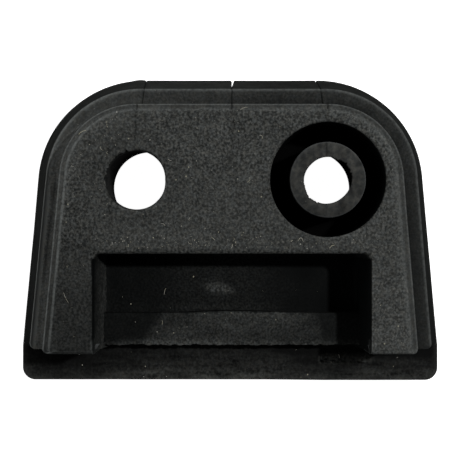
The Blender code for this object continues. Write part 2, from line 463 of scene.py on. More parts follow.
def moulded_rubber(name, clean, edge, grain=1, size=0.5, cloud=(7.0, 0.15), streak=(1, 1, 1), **looks):
    """Black rubber with a fine grain, a dusty bloom and edges that wear pale; through the dust and wear
    values these also carry painted light and painted shade.
    """
    m = Surface(name)
    fine = m.noise(size, 3.0, 0.65)
    strokes = m.noise(size * 1.3, 2.0, 0.6, (1.25, 0.85, 1))
    cloudy = m.noise(cloud[0], 4.0, 0.62, streak, -18)
    dust = m.value("dust")
    depth = m.times(m.value("grain"), grain)
    speckle = m.math("ADD", m.fit(fine, 0.3, 0.7, -0.85, 0.85), m.fit(strokes, 0.3, 0.7, -0.5, 0.5))
    speckle = m.math("MAXIMUM", speckle, -0.5)
    patchy = m.fit(cloudy, 0.3, 0.7, 1 - cloud[1], 1 + cloud[1])
    patchy = m.math("ADD", patchy, m.times(speckle, depth))
    bloom = m.math("MAXIMUM", m.times(dust, patchy), 0.0)
    thick = [part * DUST_RANGE for part in looks.get("dusty", DUSTY)]  # where the bloom reaches DUST_RANGE
    tint = m.mix(m.fit(m.noise(1.1), 0.4, 0.6), thick, (thick[0] * 1.05, thick[1], thick[2] * 0.94))
    colour = m.mix(m.math("DIVIDE", bloom, DUST_RANGE), clean, tint)
    worn = m.times(m.value("wear"), m.fit(m.noise(1.0, 4.0), 0.3, 0.6, 0.35, 1.0))
    colour = m.mix(worn, colour, edge)
    shown = m.fit(dust, 0.3, 0.9)
    colour = m.mix(m.times(m.specks(1.2, 0.12, 0.3, shown), 0.55), colour, (0.24, 0.24, 0.21))
    colour = m.mix(m.times(m.specks(3.1, 0.2, 0.35, shown), 0.7), colour, (0.3, 0.29, 0.22))
    m.set(Base_Color=colour, Specular_IOR_Level=looks.get("shine", 0.05))
    m.set(Roughness=m.fit(m.math("ADD", bloom, m.times(fine, 0.3)), 0.0, 1.2, 0.7, 0.95))
    m.set(Normal=m.bump(fine, 0.07 * grain, m.bump(m.noise(1.4, 2.0), 0.04)))
    return m.material


def zinc():
    """Zinc-plated sheet with a faint rolled grain."""
    m = Surface("zinc_sheet")
    grain = m.noise(0.6, 3.0, 0.6, (0.08, 1, 1))
    m.set(Base_Color=m.mix(m.noise(4.0), (0.46, 0.47, 0.49), (0.6, 0.6, 0.58)))
    m.set(Roughness=m.fit(grain, 0.3, 0.7, 0.28, 0.5), Metallic=1.0)
    m.set(Normal=m.bump(grain, 0.01))
    return m.material


def lint():
    """Pale dust and fibres."""
    m = Surface("pale_lint")
    m.set(Base_Color=m.mix(m.fit(m.noise(2.5), 0.35, 0.65), (0.3, 0.28, 0.19), (0.34, 0.34, 0.32)))
    m.set(Roughness=m.fit(m.noise(0.2), 0.3, 0.7, 0.75, 0.95))
    m.set(Normal=m.bump(m.noise(0.1), 0.01))
    return m.material


CLEAN = (0.002, 0.0025, 0.0025)  # bare rubber
DUSTY = (0.041, 0.0435, 0.0425)  # rubber where the dust value is 1
FACE_RUBBER = moulded_rubber("grained_rubber", CLEAN, (0.15, 0.16, 0.156), cloud=(3.0, 0.2))
BUSH_RUBBER = moulded_rubber(
    "bush_rubber", (0.0007, 0.0007, 0.0007), (0.11, 0.118, 0.12), 0.5, 1.1, (2.2, 0.2),
    dusty=(0.041, 0.043, 0.042), shine=0.02,
)
PLATE_RUBBER = moulded_rubber(
    "smooth_rubber", (0.002, 0.0022, 0.0022), (0.06, 0.06, 0.057), 0.9, 0.6, (1.8, 0.6), (0.25, 1.4, 1),
    dusty=(0.04, 0.042, 0.0405),
)
STRIP_RUBBER = moulded_rubber("scuffed_rubber", CLEAN, (0.06, 0.062, 0.06), 1, 0.5, (2.0, 0.3), (0.5, 1, 1))


# ---------------- the pad's body

# Height above the back, offset radius, reach below the holes, corner radius, and the rings up to there
BODY_PROFILE = [
    (PLATE_TOP + 0.04, 24.28, 37.3, 1.2, 1),
    (PLATE_TOP + 0.9, 24.02, 37.24, 1.2, 1),
    (18.3, 20.76, 36.52, 1.2, 12),
    (18.72, 20.62, 36.5, 1.2, 2),
    (18.93, 20.55, 36.48, 1.2, 1),
    (19.05, 20.42, 36.46, 1.15, 1),
    (19.03, 20.28, 36.45, 1.15, 1),
    (18.92, 20.14, 36.44, 1.1, 1),
    (18.88, 19.9, 36.43, 1.1, 1),
    (18.92, 17.0, 36.38, 1.1, 8),
    (19.02, 16.6, 36.37, 1.1, 2),
    (19.25, 16.32, 36.36, 1.1, 1),
    (19.7, 16.2, 36.35, 1.1, 1),
    (26.35, 15.98, 36.32, 1.1, 9),
    (26.66, 15.94, 36.28, 1.1, 1),
    (26.84, 15.84, 36.2, 1.1, 1),
    (26.9, 15.68, 36.1, 1.05, 1),
    (26.88, 15.48, 35.97, 1.0, 1),
    (26.86, 15.26, 35.82, 1.0, 1),
    (26.96, 15.02, 35.64, 0.95, 1),
    (27.2, 14.78, 35.44, 0.9, 2),
    (27.37, 14.58, 35.22, 0.9, 1),
    (27.47, 14.34, 34.96, 0.8, 1),
    (FACE_TOP, 14.02, 34.6, 0.8, 1),
    (FACE_TOP, 13.4, 34.0, 0.7, 1),
]
FOOT_ROUNDING = 0.8  # the radius that the face ends in at the straight end
BLOCK_FOOT = 36.36  # how far below the holes the front block's straight end stands


def rounded_foot(outline):
    """How high the face stands near the straight end, which it rounds over into."""
    into = np.clip(FOOT_ROUNDING - (BLOCK_FOOT + outline[:, 1]), 0, FOOT_ROUNDING)
    slope = 0.02 * np.clip(-34.1 - outline[:, 1], 0, 3)
    return FACE_TOP - FOOT_ROUNDING + np.sqrt(FOOT_ROUNDING**2 - into**2) - slope


def foot_share(outline, radius):
    """1 along the straight end, where the face has no band, and 0 from the corners up."""
    inwards = side_x(radius, outline[:, 1]) - np.abs(outline[:, 0])
    return ramp(inwards, 0.4, 1.4) * (outline[:, 1] < -33.5)


def body_rings():
    """The body's outer surface from its foot to its face, with the parting lines cut in."""
    sections = [BODY_PROFILE[0][:4]]
    for start, (*end, steps) in zip(BODY_PROFILE, BODY_PROFILE[1:]):
        for i in range(1, steps + 1):
            sections.append([a + (b - a) * i / steps for a, b in zip(start, end)])
    rings = []
    for z, radius, foot, corner in sections:
        block = z > BLOCK_HEIGHT and radius < 18
        outline = arched_outline(radius, foot, corner, BLOCK_RIGHT_STRETCH if block else 1.0)
        outline[:, 0] += askew(outline[:, 0], outline[:, 1], z)
        if block:
            outline[:, 1] -= np.maximum(outline[:, 1], 0) * 0.008
        ring = at_height(outline, z)
        if z > 26.3:
            ring[:, 2] += (rounded_foot(outline) - z) * foot_share(outline, radius)
        rings.append(ring)
    rings = np.array(rings)
    along = np.roll(rings, -1, 1) - np.roll(rings, 1, 1)
    normals = np.cross(along, np.gradient(rings, axis=0))
    normals /= np.maximum(np.linalg.norm(normals, axis=2, keepdims=True), 1e-9)
    weights = seam_weights(arched_outline(16, 36), 16)
    rings -= normals * (weights * SEAM_DEPTH)[None, :, None]
    return list(rings)


def within(radius, x, y):
    """Whether a spot is inside the sides and shoulders of the outline at this radius."""
    shoulder = abs(x) > HOLE_X and y > 0
    return math.hypot(abs(x) - HOLE_X, y) <= radius if shoulder else abs(x) <= side_x(radius, y)


def face_points():
    """Points inside the face, with close rows along the parting lines."""
    spacing = 0.95
    draw = random.Random(11)
    points = []
    for row in range(-34, 14):
        for column in range(-38, 39):
            x = (column + 0.5 * (row % 2)) * spacing
            y = row * spacing
            if -33.0 <= y <= 13.2 and within(12.6, x, y) and not near_seam(x, y):
                points.append((x + draw.uniform(-0.2, 0.2), y + draw.uniform(-0.2, 0.2), FACE_TOP))
    for seam in face_seams():
        for step in (*(-step for step in reversed(SEAM_STEPS)), 0.0, *SEAM_STEPS):
            weight = np.interp(abs(step), (0, *SEAM_STEPS), (1, *SEAM_DEPTHS))
            for row in range(34):
                y = 13.2 - row * 0.5
                points.append((seam + step, y, FACE_TOP - weight * ramp(y, -3, 4) * SEAM_DEPTH * 0.55))
    return points


def face_seams():
    return (-seam_x(16) * LEFT_STRETCH, 0.0, seam_x(16) * BLOCK_RIGHT_STRETCH)


def near_seam(x, y):
    return y > -4.0 and any(abs(x - seam) < 0.75 for seam in face_seams())


def torn(turns, start, end, size, seed):
    """A torn edge's notches between two angles in degrees, as changes of radius."""
    middle, half = math.radians((start + end) / 2), math.radians(abs(end - start) / 2)
    away = np.abs((turns - middle + math.pi) % math.tau - math.pi)
    teeth = [noise.noise((t * 6, seed, 0)) + noise.noise((t * 14, seed, 3)) for t in turns]
    return size * ramp(away, half, half - math.radians(12)) * np.array(teeth)


# How the two openings' lips run out of round: angles in degrees, and the radius at each
BOLT_LIP = (
    (0, 30, 53, 92, 138, 183, 234, 270, 318, 331),
    (6.1, 6.18, 6.4, 6.17, 6.3, 6.33, 6.48, 6.35, 6.3, 6.38),
)
BUSH_LIP = (
    (10, 52, 80, 138, 176, 199, 223, 270, 306, 328),
    (5.04, 4.86, 4.77, 4.74, 4.98, 5.02, 5.32, 4.97, 4.76, 4.8),
)


def lip_radius(turns, lip):
    return np.interp(np.degrees(turns), *lip, period=360)


def bolt_hole_warp(turns, radius, z):
    if radius > 8:
        return 0.0
    uneven = lip_radius(turns, BOLT_LIP) - BOLT_HOLE_RADIUS + torn(turns, 88, 200, 0.42, 4.2)
    return uneven * ramp(z, FACE_TOP - 1.6, FACE_TOP - 0.3)


def bolt_hole_cutter():
    """A plain hole with a torn lip through the thin web, and the counterbore behind it."""
    r, wide, web = BOLT_HOLE_RADIUS, COUNTERBORE_RADIUS, FACE_TOP - WEB_THICKNESS
    profile = [(wide, PLATE_TOP - 1), (wide, 14), (wide, 20), (wide, web - 0.5), (wide - 0.15, web - 0.15)]
    profile += [(wide - 0.5, web), (r + 0.35, web), (r + 0.1, web + 0.1), (r, web + 0.35)]
    lip = [(0, -1.0), (0, -0.5), (0.02, -0.32), (0.09, -0.16), (0.24, -0.04), (0.5, 0.1), (1.2, 0.5)]
    profile += [(r + out, FACE_TOP + up) for out, up in lip]
    return lofted("bolt_hole", turned_rings(profile, -HOLE_X, 320, bolt_hole_warp))


def bush_hole_cutter():
    """The moat around the bush, with the seat of the bush's flange behind it."""
    r, seat, floor = BUSH_HOLE_RADIUS, FLANGE_RADIUS + GAP, FLANGE_TOP + GAP
    profile = [(seat, PLATE_TOP - 1), (seat, floor), (r + 0.5, floor), (r + 0.1, floor + 0.3)]
    profile += [(r, floor + 0.8), (r, 16), (r, 21)]
    lip = [(0, -2.0), (0, -0.5), (0.05, -0.28), (0.16, -0.1), (0.36, 0.02), (1.0, 0.4)]
    profile += [(r + out, FACE_TOP + up) for out, up in lip]
    return lofted("bush_hole", turned_rings(profile, HOLE_X, 240, lambda turns, *_: 0.04 * np.cos(2 * turns)))


def pocket_ring(grow, z):
    """The pocket's outline, grown by some millimetres and open at the straight end."""
    corner = 1.5 + grow * 0.5
    half_width, top = POCKET_WIDTH / 2 + grow, max(grow, grow * 2.4) - POCKET_TOP
    centre = (half_width - corner, top - corner)
    half = straight((0, -BAR_FOOT), (half_width, -BAR_FOOT), 10)
    half += straight((half_width, -BAR_FOOT), (half_width, centre[1]), 44)
    half += arc(centre, corner, 0, 90, 12)[:-1]
    half += straight((centre[0], top), (0, top), 50) + [(0, top)]
    return at_height(closed(half, left_stretch=1.0), z)


def pocket_cutter():
    """The pocket, with a rounded foot to its walls, a slight draft and a softened rim."""
    sections = [(-1.2, 0.0), (-0.75, 0.06), (-0.4, 0.25), (-0.28, 0.6), (-0.25, 1.2)]
    sections += [(-0.25 + 0.2 * i / 6, 1.2 + 12.8 * i / 6) for i in range(1, 7)]
    sections += [(0.0, 14.2), (0.06, 14.55), (0.16, 14.8), (0.29, 14.95), (0.46, 15.04), (1.2, 15.5)]
    foot = [(x * 1.1, -15.6 - y * 0.95, POCKET_FLOOR) for x in range(-24, 25) for y in range(1, 30)]
    return lofted("pocket", [pocket_ring(grow, POCKET_FLOOR + up) for grow, up in sections], inner_foot=foot)


def floor_end_cutter():
    """The floor below the pocket ends upright, behind the strip's torn lip."""
    outline = np.array([(-28.4, -BAR_FOOT), (28.4, -BAR_FOOT), (28.4, -36.4), (-28.4, -36.4)])
    return lofted("floor_end", [at_height(outline, PLATE_TOP - 1), at_height(outline, POCKET_FLOOR + 1)])


def over_pocket(x, y):
    """Whether a spot is over the pocket and its rims."""
    return (np.abs(x) < 29.3) & (y < -14.4)


def in_pocket(points):
    return over_pocket(*points.T[:2]) & (points[:, 2] < FACE_TOP - 0.05)


def strip_edge(x):
    """Where the strip's upper edge stands: it bows up in the middle."""
    return -28.95 + 0.42 * np.clip(1 - ((x - 0.6) / 12.5) ** 2, 0, 1) ** 1.2


def pocket_dust_and_painted_shading(points, normals):
    """Nearly clean, with a scuff in the middle of its floor and a dusty left wall; the wall that faces away
    from the key light is left bare as painted shade, and the rounded top rim is painted lighter.
    """
    x, y, z = points.T
    tilted = (y + 23.6) + 0.12 * (x + 2.9)
    scuff = np.exp(-((((x + 2.9) / 3.3) ** 2 + (tilted / 1.35) ** 2) ** 3))
    floor = 0.06 + 0.04 * rough(points, 5.0, 6) + 0.7 * scuff
    # Darker towards both ends of the floor; towards the left wall this is painted shade.
    floor += np.interp(x, (-24, -17, -11, 3, 10, 17), (0, 0.02, 0.14, 0.12, 0.02, -0.045))
    floor += 0.1 * near(y, -27.9, 0.6) * near(x, -4, 14)
    side = np.interp(z, (POCKET_FLOOR + 0.3, POCKET_FLOOR + 2, 19, 24, 26.5), (0.5, 0.85, 0.6, 0.4, 0.02))
    # Painted shade: only the wall facing the key light takes dust, the one facing away stays bare.
    side *= np.where(normals[:, 0] > 0.5, 1 + 0.5 * rough(points, 2.5, 31) + 0.3 * rough(points, 0.9, 32), 0)
    side *= np.interp(y, (-34, -20, -15.6), (1.15, 0.95, 0.6))
    # Painted light: the rounded top rim faces away from the light and is lightened.
    rim = np.interp(z, (26.3, 26.9, 27.4), (0.1, 0.9, 1)) * (y > -16.4)
    return np.where((normals[:, 2] > 0.6) & (z < 20), floor, np.maximum(side, rim))


def lee(points):
    """1 where the front block keeps the key light off the ledge, else 0."""
    share = ((FACE_TOP - 0.7 - points[:, 2]) / (KEY_PLACE[2] - points[:, 2]))[:, None]
    return ramp(reach(points + (KEY_PLACE - points) * share), 16.1, 15.7)


def ledge_dust_and_painted_light(points):
    """Brighter towards its rim, in uneven bands along it, and darker by the block's foot as painted shade; on
    the left, in the block's shadow from the key light, it is painted lighter.
    """
    x, y = points.T[:2]
    out = reach(points)
    right = np.interp(out, (16.3, 17, 18.3, 19.4, 20.2), (0.17, 0.17, 0.3, 0.42, 0.55))
    top = np.interp(out, (16.3, 17, 18.5, 19.6, 20.2), (0.66, 0.64, 0.68, 0.78, 1))
    # Painted light: the left side's higher values partly make up for the key light that the block keeps off
    # it.
    left = np.interp(out, (16.3, 17, 18.2, 19.1, 19.7, 20.2), (0.45, 0.78, 0.98, 0.8, 1.1, 1.5))
    left += ramp(out, 19.2, 19.8) * ramp(y, 0, -4)
    along = ramp(x, -12, 10)
    dust = np.where(y > 0, top * (1 - along) + right * 1.25 * along, right)
    dust = np.where(x < 0, dust + (left - dust) * ramp(x, -16, -24), dust)
    dark_streak = near(x, 0.124 * (y + 1.6) - 38.9, 0.3) * np.interp(y, (-24, -18, -1, 3), (0, 1, 1, 0))
    dust *= 1 - 0.6 * dark_streak
    # Painted light: lighter still where the block keeps the key light off the ledge.
    return dust * (1 + 2.0 * lee(points) * (x < 0)) * (1 + 0.22 * rough(points, 4.0, 5))


def flank_dust_and_painted_shade(points):
    x, y, z = points.T
    top = np.interp(x, (-30, -18, -2, 8, 25), (0.34, 0.52, 0.5, 0.36, 0.36))
    left, right = np.interp(y, (-36, -28, -8), (0.1, 0.22, 0.34)), np.interp(y, (-36, -20), (0.24, 0.36))
    side = np.where(x < 0, left, right)
    dust = side + (top - side) * ramp(y, 0, 14)
    # Painted shade: darker just below the ledge's rim.
    return dust * np.interp(z, (16.5, 18.4), (1, 0.7)) * (1 + 0.25 * rough(points, 3, 25))


def face_dust(points):
    """Darker low on the left, around the bolt hole and on the right of the face's band."""
    x, y = points.T[:2]
    out = reach(points)
    lower_left, upper_left = ramp(x, 30, -30), ramp(x, -15, -25)
    dust = np.interp(x, (-40, -20, 10, 28, 40), (0.92, 1.02, 0.98, 1.06, 1.1))
    dust *= 1 + 0.06 * near(x, -34, 8) * near(y, -3, 5) - 0.17 * near(x, -33, 8) * near(y, -13, 5)
    dust *= 1 - np.interp(y, (-34, -24, -13), (0.57, 0.5, 0)) * lower_left
    dust *= 1 - 0.4 * ramp(y, -34.3, -36.2) * lower_left
    dust *= 1 + 0.1 * rough(points, 8.0, 15) + 0.08 * rough(points, 3.0, 16)
    dust *= 1 - 0.16 * near(np.hypot(x + HOLE_X, y), 8.2, 1.8)
    dust *= 1 - 0.2 * near(out, 15.1, 0.35) * ramp(x, 15, 25)
    dust *= 1 + 0.3 * near(out, 15.1, 0.4) * upper_left
    return dust * (1 + 0.3 * near(out, 13.3, 1.2) * upper_left * ramp(y, -5, 1))


def bolt_hole_turn(points):
    """The angle of each point around the bolt hole, in degrees."""
    return np.degrees(np.arctan2(points[:, 1], points[:, 0] + HOLE_X)) % 360


def body_dust_and_painted_shading(points, normals):
    """Dusty on the face, thinner on the ledge, and nearly clean in the pocket and the holes; the moat is left
    bare as painted shade, and the bolt hole's wall is painted lighter on its lower left, where light falls
    in.
    """
    x, y, z = points.T
    left, right = np.hypot(x + HOLE_X, y), np.hypot(x - HOLE_X, y)
    wall = np.interp(z, (19.4, 26.2), (0.3, 0.5))
    dust = np.where(z < 18.7, flank_dust_and_painted_shade(points), np.where(z < 19.3, ledge_dust_and_painted_light(points), wall))
    dust = np.where(z > 26.3, face_dust(points), dust)
    # Painted light: the bolt hole's wall is lighter on its lower left, where light falls in through the
    # mouth.
    bore = np.interp(bolt_hole_turn(points), (118, 150, 230, 260), (0, 0.3, 0.35, 0.2))
    # Painted shade: the moat around the bush is left bare so that it stays black.
    dust = np.where((right < 12.15) & (z < FACE_TOP - 0.3), 0.0, dust)
    dust = np.where((left < 8.8) & (z < FACE_TOP - 0.45), bore, dust)
    dust *= 1 - body_seams(points)
    return np.where(in_pocket(points), pocket_dust_and_painted_shading(points, normals), dust)


def body_seams(points):
    """How much dust the parting lines hide, from 0 to 1."""
    x, y, z = points.T
    face = sum(near(x, seam, 0.3) for seam in face_seams()) * 0.28 * ramp(y, 3, 10)
    across = np.abs(x - askew(x, y, z)) / np.where(x < 0, LEFT_STRETCH, 1.0)
    ledge = (near(across, seam_x(reach(points)), 0.14) + near(x, 0, 0.14)) * 0.75
    return np.where(z > 27.2, face, ledge) * (y > 0)


def body_wear_and_painted_light(points, bend):
    """Pale lines along the ledge's rim and along both edges of the face's band; on the left, where the block
    shades the rim from the key light, its line is also painted light.
    """
    x, y, z = points.T
    out = reach(points)
    # Painted light: the rim's line is wider and paler on the left, which lies in the key light's shadow.
    side = ramp(y, 0, -4) * (x < 0)
    rim = near(out, 20.3, 0.21 + 0.11 * side) * (z > 18.5) * (z < 19.3)
    rim *= np.interp(x, (-30, 0, 40), (1, 0.75, 0.62)) * (1 + 0.5 * side)
    outer = near(out, 15.75, 0.14) * (z > 26.4) * np.interp(x, (-30, 0, 35), (0.85, 0.6, 0.34))
    middle = np.interp(x, (-30, 0, 30), (14.45, 14.6, 14.3))
    width = np.interp(x, (-30, 0, 35), (0.25, 0.22, 0.5))
    inner = near(out, middle, width) * (z > 26.9) * np.interp(y, (-30, -10), (0.75, 1))
    inner *= np.interp(x, (-35, -15, 15, 35), (0.85, 0.26, 0.2, 0.3))
    ends = bend * (y < -33.5) * (z > 20) * 0.4
    lines = np.maximum.reduce((rim, outer, inner, ends)) * (1 - 0.8 * body_seams(points))
    return np.clip(lines, 0, 1)


def body_grain(points):
    """Strong on the face, and fainter on its band, the ledge and the flanks."""
    x, y, z = points.T
    grain = np.interp(z, (19.5, 27), (0.5, 1)) * np.interp(y, (-4, 6), (1, 1.22))
    grain *= 1 - 0.25 * ramp(x, -14, -22) * ramp(y, 1, 7)
    grain *= 1 + 0.35 * near(x, -34, 7) * near(y, -9, 7)
    return np.where(in_pocket(points), 1.3, grain * (1 - 0.6 * near(reach(points), 15.3, 0.6)))


def notch_cutter():
    """The middle parting line opens into a narrow notch below the ledge."""
    low = [(0.0, 24.8, -0.5), (0.45, 26.0, -0.5), (0.05, 26.0, -0.5)]
    high = [(0.0, 21.3, 16.6), (1.64, 26.0, 16.6), (0.05, 26.0, 16.6)]
    return lofted("notch", [np.array(low), np.array(high)])


def make_body():
    body = lofted("pad_body_visual", body_rings(), inner_top=face_points())
    carve(body, [bolt_hole_cutter(), bush_hole_cutter(), pocket_cutter(), floor_end_cutter(), notch_cutter()])
    dish_face(body)
    soften_surface(body)
    finish_piece(body, FACE_RUBBER, "pad_body", body_dust_and_painted_shading, body_wear_and_painted_light, body_grain)


def dish_face(body):
    """The face sinks a little around the bolt hole."""
    points = points_of(body.data)
    away = np.hypot(points[:, 0] + HOLE_X, points[:, 1])
    points[:, 2] -= 0.14 * np.exp(-((away / 9.5) ** 4)) * ramp(points[:, 2], FACE_TOP - 1.5, FACE_TOP)
    move_points(body.data, points)


# ---------------- the rear plate


def plate_sections():
    """Inset from the plate's side, and height, from the back's edge around to the top's."""
    rounding = [(1 - math.sin(math.radians(a)), 1 - math.cos(math.radians(a))) for a in (0, 22, 45, 68, 90)]
    lower = [(0.55 * inset, 0.55 * up) for inset, up in rounding]
    upper = [(0.32 * inset, PLATE_TOP - 0.32 * up) for inset, up in reversed(rounding)]
    side = [(0.0, 0.55 + (PLATE_TOP - 0.87) * i / 6) for i in range(1, 6)]
    return [(1.6, 0.0)] + lower + side + upper + [(1.5, PLATE_TOP)]


def plate_rings():
    weights = seam_weights(plate_outline(24, 45, 2), 24)
    rings = []
    for inset, z in plate_sections():
        outline = plate_outline(PLATE_RADIUS - inset, BAR_FOOT - inset, BAR_CORNER - inset * 0.6)
        outline[:, 1] -= weights * np.where(outline[:, 0] > 10, 0.45, 0.28) * (inset < 1)
        outline[:, 1] += 0.15 * np.exp(-(((outline[:, 0] + 21.5) / 1.4) ** 4)) * (outline[:, 1] > 0)
        outline[:, 1] -= 0.14 * ramp(outline[:, 0], 8, 22) * (outline[:, 1] < -40)
        wider = np.interp(outline[:, 1], (-32, -10, 12), (1.004, 1.002, 1.0035))
        outline[:, 0] *= np.where(outline[:, 0] < 0, wider, 1.0)
        rings.append(at_height(outline, z))
    return rings


def bar_points():
    """Points over the part of the plate's top that shows as the bar."""
    draw = random.Random(5)
    points = []
    for row in range(6):
        for column in range(-44, 45):
            x = column * 1.05 + draw.uniform(-0.25, 0.25)
            y = -42.9 + row * 1.05 + draw.uniform(-0.25, 0.25)
            points.append((x, y, PLATE_TOP))
    return points


def plate_hole_cutter(x):
    r = COUNTERBORE_RADIUS
    profile = [(r + 0.9, -0.3), (r + 0.3, 0.02), (r + 0.08, 0.2), (r, 0.5), (r, 4.0), (r, PLATE_TOP + 1)]
    return lofted("plate_hole", turned_rings(profile, x, 160))


def steel_recess_cutter():
    """The stiffener's own shape, grown by the gap it has around it."""
    shape = bmesh.new()
    shape.from_mesh(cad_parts["stiffener_plate"].data)
    bmesh.ops.remove_doubles(shape, verts=shape.verts, dist=0.001 * MM)
    bmesh.ops.recalc_face_normals(shape, faces=shape.faces)
    grown = {v: v.co + v.normal * v.calc_shell_factor() * GAP * MM for v in shape.verts}
    for vertex, place in grown.items():
        vertex.co = place
    mesh = bpy.data.meshes.new("steel_recess")
    shape.to_mesh(mesh)
    shape.free()
    return add_object("steel_recess", mesh)


# How dusty the bar is along its length
BAR_DUST = (
    (-46, -40, -34, -25, -14, -3, 9, 19, 28, 35, 42),
    (0.2, 0.05, 0.09, 0.25, 0.36, 0.43, 0.28, 0.13, 0.12, 0.2, 0.22),
)


def plate_dust_and_painted_shading(points, normals):
    """Slanting smears along the bar, which is lighter towards its lower edge, and a thin film on the sides;
    painted shade darkens the bar towards the pocket wall's shadow and under the right foot, painted light
    lightens it inside that shadow, and the bolt hole's wall is painted lighter on its lower left.
    """
    x, y, z = points.T
    slanted = np.column_stack((x * 0.3 - y * 0.25, y * 1.3 + x * 0.35, z))
    smears = 1 + 0.5 * rough(slanted, 2.2, 8) + 0.3 * rough(points * (0.25, 1, 1), 1.4, 18)
    across = np.interp(y, (-45, -43.3, -41.5, -40, -38), (1.6, 1.35, 1, 0.75, 0.5))
    # Painted shade: the top of the bar darkens towards the pocket wall's cast shadow.
    across *= 1 - 0.6 * ramp(x, 6, 14) * ramp(y, -40.4, -38.9)
    # Painted shade: darker under the right foot.
    across *= 1 - 0.65 * ramp(x, 25, 28) * ramp(y, -40.4, -39.9)
    edge = 0.2 * np.interp(y, (-44.8, -43.6, -41.5), (1, 0.7, 0)) * (1 + 0.6 * rough(points, 3, 19))
    # Painted light: the bar is lightened inside the pocket wall's cast shadow.
    patch = ramp(x, 20.2, 20.8) * ramp(x, 33, 31.5) * ramp(y, -41.3, -40.9) * ramp(y, -39.2, -40.0)
    top = np.clip(smears, 0.2, 2) * (np.interp(x, *BAR_DUST) * across + edge + 1.1 * patch)
    # Painted light: the bolt hole's wall is lighter on its lower left, where light falls in.
    bore = np.interp(bolt_hole_turn(points), (122, 150, 180, 230), (0, 0.09, 0.17, 0.24))
    bore *= 1 + 0.5 * rough(points, 1.5, 33)
    rest = np.where((np.hypot(x + HOLE_X, y) < 9.2) & (z > 0.05), bore, 0.35)
    return np.where((normals[:, 2] > 0.4) & (y < -37), top, rest)


def plate_wear(points, bend):
    """Worn edges, except in the back's plane, where wide faces would spread the wear."""
    return bend * 0.5 * (points[:, 2] > 0.05)


def make_plate():
    plate = lofted("rear_plate_visual", plate_rings(), inner_top=bar_points())
    holes = [plate_hole_cutter(-HOLE_X), plate_hole_cutter(HOLE_X)]
    carve(plate, holes + [steel_recess_cutter(), notch_cutter()])
    soften_surface(plate, 0.02)
    finish_piece(plate, PLATE_RUBBER, "rear_plate", plate_dust_and_painted_shading, plate_wear)


# ---------------- the bush


def bush_warp(turns, radius, z):
    """The bush's mouth is cut unevenly, and torn on its upper right and a little on its lower left."""
    if radius > 7.0:
        return 0.03 * np.cos(2 * turns + 1)
    uneven = lip_radius(turns, BUSH_LIP) - BUSH_BORE_RADIUS
    uneven += torn(turns, 5, 85, 0.4, 7.7) + torn(turns, 180, 260, 0.15, 9.1)
    return uneven * ramp(z, BUSH_TOP - 2.5, BUSH_TOP - 0.6)


def make_bush():
    # Radius, and depth below the mouth, down the outside and down the bore
    outside = [(6, 0), (6.6, 0), (7.2, 0.01), (7.55, 0.05), (7.8, 0.16), (7.92, 0.35), (7.96, 0.7)]
    bore = [(5.45, 0), (5.22, 0.06), (5.1, 0.2), (5.08, 0.5), (5.1, 1), (5.15, 2)]
    bore += [(5.6, 5), (6.2, 9), (6.9, 13.5), (7.6, BUSH_TOP - BUSH_FOOT)]
    profile = [(radius, BUSH_TOP - down) for radius, down in outside]
    profile += [(7.96 + 0.6 * i / 8, BUSH_TOP - 0.7 - 14.7 * i / 8) for i in range(1, 9)]
    profile += [(8.75, FLANGE_TOP + 0.3), (9.2, FLANGE_TOP + 0.04), (9.8, FLANGE_TOP)]
    profile += [(9.8 + 0.8 * i, FLANGE_TOP) for i in range(1, 6)]
    profile += [(FLANGE_RADIUS, FLANGE_TOP), (FLANGE_RADIUS, BUSH_FOOT), (FLANGE_RADIUS - 1, BUSH_FOOT)]
    profile += [(radius, BUSH_TOP - down) for radius, down in reversed(bore)]
    sides = 256
    rings = turned_rings(profile, HOLE_X, sides, bush_warp)
    for ring in rings:
        groove = np.interp(np.abs(ring[:, 0] - SEAM_X), (0, 0.12, 0.26), (0.12, 0.06, 0))
        ring[:, 2] -= groove * (ring[:, 1] > 0) * (ring[:, 2] > BUSH_TOP - 0.1)
    bush = add_piece("bolt_bush_visual", np.concatenate(rings), walls(len(rings), sides, looped=True))
    soften_surface(bush, 0.02)
    finish_piece(bush, BUSH_RUBBER, "bolt_bush", bush_dust_and_painted_shade, bush_wear)


def bush_wear(points, bend):
    """A pale line around the outer edge of the bush's mouth."""
    out = np.hypot(points[:, 0] - HOLE_X, points[:, 1])
    return 0.35 * near(out, 7.8, 0.14) * (points[:, 2] > BUSH_TOP - 0.5)


def bush_dust_and_painted_shade(points, normals):
    x, y, z = points.T
    top = 0.7 + 0.24 * rough(points, 2.5, 21) + 0.2 * rough(points, 1.0, 22)
    top += np.interp(y, (-7, 7), (-0.1, 0.19))
    top *= 1 - 0.5 * near(x, SEAM_X, 0.2) * (y > 0)
    # Painted shade: below its mouth the bush is left bare, which keeps the moat and the bore black.
    return np.where((normals[:, 2] > 0.4) & (z > 20), np.maximum(top, 0.2), 0.3 * ramp(z, 26, 27))


# ---------------- the pocket's strip


